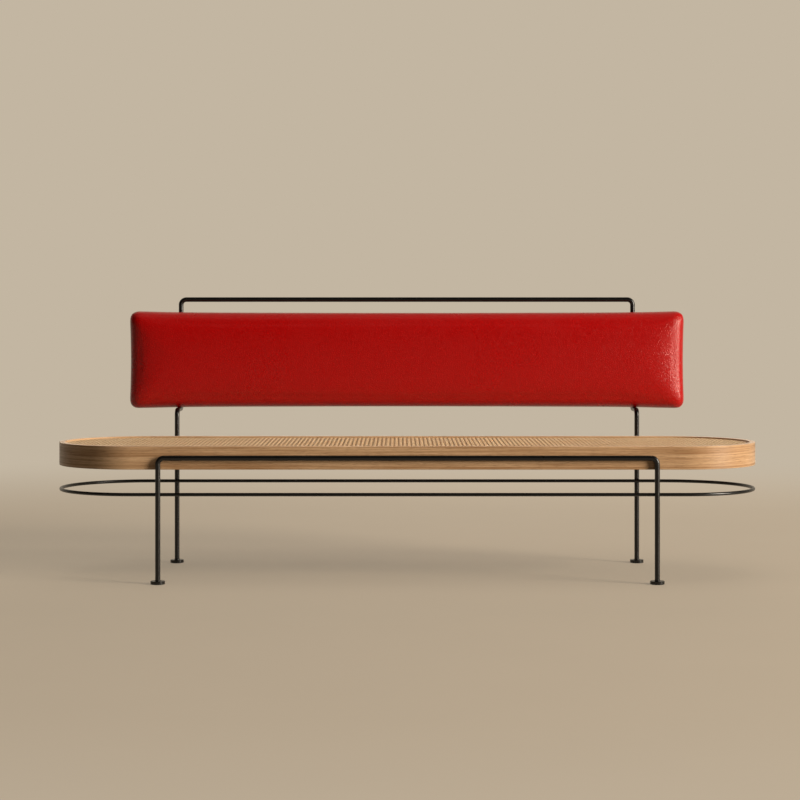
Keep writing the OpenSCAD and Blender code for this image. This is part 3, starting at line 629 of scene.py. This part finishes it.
# %% [markdown]
# ## The leather swells
#
# Foam presses the leather out, and leather doesn't follow a formula: it spreads the curve over the whole
# front and softens the line that runs in from each corner. A cloth simulation does just that. The form is
# remeshed into even squares, because cloth bends evenly only on those. Air pressure from inside stands for
# the foam, gravity is off, and the back edge is pinned where the leather is stapled to the board. How far
# a point may move is capped, so the cushion keeps its measured outline, and where the pull would draw the
# leather in, the foam stops it. One subdivision then makes the squares finer, and in front of the seam the
# points are evened with their neighbours, because a gloss shows every ripple that is left.

# %% Read, bake and even out
def read(mesh, what="co"):
    """The places or the normals of all points of a mesh, as an array."""
    flat = np.empty(len(mesh.vertices) * 3, np.float32)
    mesh.vertices.foreach_get(what, flat)
    return flat.reshape(-1, 3).astype(float)


def bake_modifiers(made):
    """Replaces an object's mesh by what its modifiers make of it, and removes them."""
    graph = bpy.context.evaluated_depsgraph_get()
    made.data = bpy.data.meshes.new_from_object(made.evaluated_get(graph))
    made.modifiers.clear()


def evened(mesh, field, times):
    """A field on the points of a mesh, each time half of it replaced by the mean of its neighbours."""
    ends = np.empty(2 * len(mesh.edges), np.int32)
    mesh.edges.foreach_get("vertices", ends)
    here, there = np.concatenate([ends.reshape(-1, 2), ends.reshape(-1, 2)[:, ::-1]]).T
    count = np.bincount(here, minlength=len(field))[:, None]
    for _ in range(times):
        total = np.zeros_like(field)
        np.add.at(total, here, field[there])
        field = (field + total / count) / 2
    return field

# %% Let the leather swell
PRESSURE, CAP, SINK = 0.5, 6 * MM, 0.2 * MM
SWELLS_FROM, EVENED_FROM, EASE = 34 * MM, 30 * MM, 20 * MM


def swell(made, pressure, cap, sink):
    """Runs cloth for 20 frames with pressure inside. Points less than 14 mm from the back stay as they are,
    and those more than 34 mm from it are free. The moves are evened out, so that no ripple of the squares
    shows. One of length m becomes cap * tanh(m / cap), and one that goes in stops at sink."""
    start, normal = read(made.data), read(made.data, "normal")
    hold = np.clip((start[:, 1] - (pad_y - SWELLS_FROM)) / EASE, 0, 1)
    group = made.vertex_groups.new(name="held")
    for weight in np.unique(np.round(hold, 1)):
        group.add(np.nonzero(np.round(hold, 1) == weight)[0].tolist(), float(weight), "REPLACE")
    cloth = made.modifiers.new("swell", "CLOTH")
    cloth.settings.vertex_group_mass = "held"
    cloth.settings.use_pressure = True
    cloth.settings.uniform_pressure_force = pressure
    cloth.settings.effector_weights.gravity = 0
    cloth.settings.quality = 5
    scene = bpy.context.scene
    for step in range(1, 21):
        scene.frame_set(step)
    graph = bpy.context.evaluated_depsgraph_get()
    move = evened(made.data, read(made.evaluated_get(graph).data) - start, 16)
    made.modifiers.clear()
    far = np.maximum(np.linalg.norm(move, axis=1, keepdims=True), 1e-9)
    move *= cap * np.tanh(far / cap) / far
    out = (move * normal).sum(1, keepdims=True)
    move += np.maximum(-sink - out, 0) * normal
    made.data.vertices.foreach_set("co", (start + move).ravel())
    made.data.update()
    scene.frame_set(1)
    print(f"before the cap the leather moved {far.mean() / MM:.1f} mm on average")

# %% Make the cover
SHRINK, VOXEL = 0.2 * MM, 8 * MM
points, faces, (pad_a, pad_b) = pad_form(SHRINK)
form = piece("form", points, faces, leather)
cover = piece("cushion_leather", points, faces, leather)
remesh = cover.modifiers.new("even squares", "REMESH")
remesh.mode = "VOXEL"
remesh.voxel_size = VOXEL
remesh.use_smooth_shade = True
smooth = cover.modifiers.new("even out", "SMOOTH")
smooth.factor, smooth.iterations = 0.5, 4
wrap = cover.modifiers.new("back to the form", "SHRINKWRAP")
wrap.target = form
bake_modifiers(cover)
bpy.data.objects.remove(form)
print("cover:", len(cover.data.vertices), "points before it swells")
swell(cover, PRESSURE, CAP, SINK)
extra = cover.modifiers.new("finer squares", "SUBSURF")
extra.levels = extra.render_levels = 1
bake_modifiers(cover)
place = read(cover.data)
free = np.clip((pad_y - EVENED_FROM - place[:, 1:2]) / EASE, 0, 1)
place += free * (evened(cover.data, place, 6) - place)
cover.data.vertices.foreach_set("co", place.ravel())
cover.data.update()
cover.data.shade_smooth()
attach(cover, "root")
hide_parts("cushion_cover")
print("cover from", read(cover.data).min(0).round(4), "to", read(cover.data).max(0).round(4))

# %% [markdown]
# ## Seam and stitches
#
# The front of the cover is sewn to the strip that turns round the back edge. The seam pulls the leather
# into a fine valley, and a row of stitches beside it holds the seam allowance flat. A second row goes round
# the panel that closes the back. Seams come after the simulation, because remeshing would erase them.
#
# The valley is a move of the cover's points along their normals, by a bell curve of their distance to the
# seam. A stitch is a short tube whose ends dip into the leather. One grid of points holds them all.

# %% Press the seam into the cover
SEAM_S, ROW_S = 19 * MM, 23 * MM
SEAM_DEEP, SEAM_WIDE = 0.8 * MM, 2.5 * MM
surface = read(cover.data)
valley = SEAM_DEEP * np.exp(-((surface[:, 1] - pad_y + SEAM_S) / SEAM_WIDE) ** 2)
cover.data.vertices.foreach_set("co", (surface - valley[:, None] * read(cover.data, "normal")).ravel())
cover.data.update()
print(f"the seam is pressed in up to {valley.max() / MM:.2f} mm")

# %% Sew the stitches
STITCH_PITCH, STITCH_HALF, THREAD_R = 8 * MM, 2.7 * MM, 0.5 * MM


def stitches(name, centre, normal):
    """Stitches along a closed row: centre + along * L * t + normal * (lift + r sin) + across * r cos,
    where t goes from -1 to 1, and both the radius r and the lift shrink towards the ends."""
    along = np.roll(centre, -1, axis=0) - np.roll(centre, 1, axis=0)
    along /= np.linalg.norm(along, axis=1, keepdims=True)
    across = np.cross(along, normal)
    t = np.array([-1, -0.7, 0, 0.7, 1])[None, :, None, None]
    turn = np.arange(6)[None, None, :, None] * math.pi / 3
    r = THREAD_R * np.sqrt(1.05 - t ** 2)
    lift = 0.25 * MM * (1 - 2 * t ** 2)
    c, a, n, x = (v[:, None, None, :] for v in (centre, along, normal, across))
    grid = c + a * STITCH_HALF * t + n * (lift + r * np.cos(turn)) + x * r * np.sin(turn)
    faces = [face for k in range(len(centre)) for face in tube_faces(5, 6, 30 * k)]
    made = piece(name, grid.reshape(-1, 3), faces, thread)
    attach(made, "root")
    print(f"{name}: {len(centre)} stitches")


def on_cover(wanted):
    """The nearest points of the cover to the wanted ones, and the cover's normals there."""
    tree = BVHTree.FromObject(cover, bpy.context.evaluated_depsgraph_get())
    found = [tree.find_nearest(Vector(p))[:2] for p in wanted.tolist()]
    return np.array([p for p, _ in found]), np.array([n for _, n in found])


row = outline(pad_a, pad_b, CORNER, STITCH_PITCH)
stitches("edge_stitches", *on_cover(pad_points(pad_a, pad_b, row, 0, ROW_S)))

ROW_INSET = 5 * MM
panel_low, panel_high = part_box("cushion_back_panel")
row = outline((panel_high.x - panel_low.x) / 2 - ROW_INSET, (panel_high.z - panel_low.z) / 2 - ROW_INSET,
              CORNER / 2 - ROW_INSET, STITCH_PITCH)
middle_z = (panel_low.z + panel_high.z) / 2
flat_row = np.column_stack([row[:, 0], 0 * row[:, 0] + panel_high.y, row[:, 1] + middle_z])
stitches("panel_stitches", flat_row, np.tile([0.0, 1.0, 0.0], (len(row), 1)))

# %% [markdown]
# ## Floor, backdrop and light
#
# The bench stands on a plain pale floor that runs into a plain pale backdrop. The backdrop is the world's
# colour as the camera and glossy or clear surfaces see it. A share of that colour is mixed into the floor
# near the bench, where shadows still show, and all of it far away, so no horizon shows. Glossy surfaces
# see the room in front of the bench dim, as a studio is behind its camera, which keeps red and black deep.
#
# One tall soft lamp stands twelve metres off, far to the right and a little in front. It grazes the front
# and lights the right ends most, and from that far its light fades by only a quarter along the bench. It
# reaches from knee height to more than six metres, so upright rods show a highlight too. The world is a
# dome, bright overhead and dim at the sides. Two wide weak lamps, in front and behind, keep the shadows
# open, and they stay out of reflections, so that the gloss shows one highlight alone.

# %% Floor
BACKDROP = "c3b6a2"
FADE_FROM, FADE_TO, FLOOR_R, NEAR_SHARE = 2.0, 5.0, 14.0, 0.36


def seen_share(tree):
    """1 for camera, glossy and transmission rays, which show the studio, and 0 for those that carry light."""
    ray = add(tree, "LightPath").outputs
    some = add(tree, "Math", {0: ray["Is Camera Ray"], 1: ray["Is Glossy Ray"]}, operation="MAXIMUM")
    return add(tree, "Math", {0: some.outputs[0], 1: ray["Is Transmission Ray"]},
               operation="MAXIMUM").outputs[0]


def painted_floor():
    """Matt paint with a share of the backdrop's colour near the bench, and that colour alone far off.
    The paint looks pale, and is darker to the light that it would throw up at the bench."""
    material, tree, shader = begin("floor paint, matt")
    place = add(tree, "TexCoord").outputs["Object"]
    out = add(tree, "VectorMath", {0: place}, operation="LENGTH").outputs["Value"]
    far = add(tree, "MapRange", {"Value": out, "From Min": FADE_FROM, "From Max": FADE_TO,
                                 "To Min": NEAR_SHARE}, interpolation_type="SMOOTHSTEP").outputs[0]
    grit = add(tree, "TexNoise", {"Vector": place, "Scale": 3.0, "Detail": 4.0}).outputs["Fac"]
    pale = add(tree, "Mix", {0: grit, 6: colour("bfb19d"), 7: colour("bbad99")}, data_type="RGBA").outputs[2]
    shown = seen_share(tree)
    tint = add(tree, "Mix", {0: shown, 6: colour("746d61"), 7: pale}, data_type="RGBA").outputs[2]
    wire(tree, shader, {"Base Color": tint, "Roughness": 0.7, "Specular IOR Level": 0.2})
    plain = add(tree, "Emission", {"Color": colour(BACKDROP)}).outputs[0]
    share = add(tree, "Math", {0: far, 1: shown}, operation="MULTIPLY").outputs[0]
    mixed = add(tree, "MixShader", {0: share, 1: shader.outputs[0], 2: plain}).outputs[0]
    tree.links.new(mixed, tree.nodes["Material Output"].inputs["Surface"])
    return material


angle = np.linspace(0, 2 * math.pi, 96, endpoint=False)
rim = np.column_stack([FLOOR_R * np.cos(angle), FLOOR_R * np.sin(angle), 0 * angle])
floor = piece("floor", rim, [list(range(len(rim)))], painted_floor())
print(f"floor {2 * FLOOR_R:.0f} m across, all backdrop from {FADE_TO:.0f} m out")

# %% World
DOME_TOP, DOME_POWER, FRONT_SHARE = 1.8, 8.0, 0.04
world = bpy.data.worlds.new("studio")
bpy.context.scene.world = world
world.use_nodes = True
tree = world.node_tree
way = add(tree, "SeparateXYZ", {0: add(tree, "TexCoord").outputs["Generated"]}).outputs
above = add(tree, "Math", {0: way[2], 1: 0.0}, operation="MAXIMUM").outputs[0]
steep = add(tree, "Math", {0: above, 1: DOME_POWER}, operation="POWER").outputs[0]
dome = add(tree, "Math", {0: steep, 1: DOME_TOP}, operation="MULTIPLY").outputs[0]
soft = tree.nodes["Background"]
wire(tree, soft, {"Color": colour("fff4e6"), "Strength": dome})
room = add(tree, "MapRange", {"Value": way[1], "From Min": 0.2, "From Max": 0.95,
                              "To Min": FRONT_SHARE}, interpolation_type="SMOOTHSTEP").outputs[0]
glossy_ray = add(tree, "LightPath").outputs["Is Glossy Ray"]
bright = add(tree, "Mix", {0: glossy_ray, 2: 1.0, 3: room}).outputs[0]
seen = add(tree, "Background", {"Color": colour(BACKDROP), "Strength": bright})
mixed = add(tree, "MixShader", {0: seen_share(tree), 1: soft.outputs[0], 2: seen.outputs[0]}).outputs[0]
tree.links.new(mixed, tree.nodes["World Output"].inputs["Surface"])

# %% Lamps
AIM = Vector((0, 0, 0.4))


def area_lamp(name, place, width, height, watts, tint, glossy=True):
    """A soft rectangular lamp that faces the seat. Where glossy is false, no reflection shows it."""
    light = bpy.data.lights.new(name, "AREA")
    light.shape, light.size, light.size_y, light.energy = "RECTANGLE", width, height, watts
    light.color = colour(tint)[:3]
    lamp = bpy.data.objects.new(name, light)
    lamp.location = place
    lamp.rotation_euler = (AIM - Vector(place)).to_track_quat("-Z", "Y").to_euler()
    lamp.visible_glossy, lamp.visible_camera = glossy, False
    bpy.context.scene.collection.objects.link(lamp)


area_lamp("key", (10.8, -5.2, 3.5), width=3.6, height=6.4, watts=2150.0, tint="fff3e2")
area_lamp("front fill", (1.4, -5.3, 2.0), width=2.6, height=2.6, watts=8.0, tint="fff6ec", glossy=False)
area_lamp("back fill", (0.6, 4.8, 2.2), width=3.0, height=3.0, watts=60.0, tint="fff6ec", glossy=False)

# %% [markdown]
# ## Camera
#
# The photograph's uprights stay parallel, so its camera is level, and the picture is shifted instead of
# tilted. Its place and its long lens were worked out from the legs, the ring and the hoop.

# %% Camera and view
LENS, SENSOR, SHIFT = 90.1, 36.0, -0.1084
camera = bpy.data.objects.new("camera", bpy.data.cameras.new("camera"))
camera.location = (-0.0219, -6.115, 0.7865)
camera.rotation_euler = (math.pi / 2, 0, 0)
camera.data.lens, camera.data.sensor_width, camera.data.shift_y = LENS, SENSOR, SHIFT
bpy.context.scene.collection.objects.link(camera)
bpy.context.scene.camera = camera
bpy.context.scene.view_settings.view_transform = "Standard"
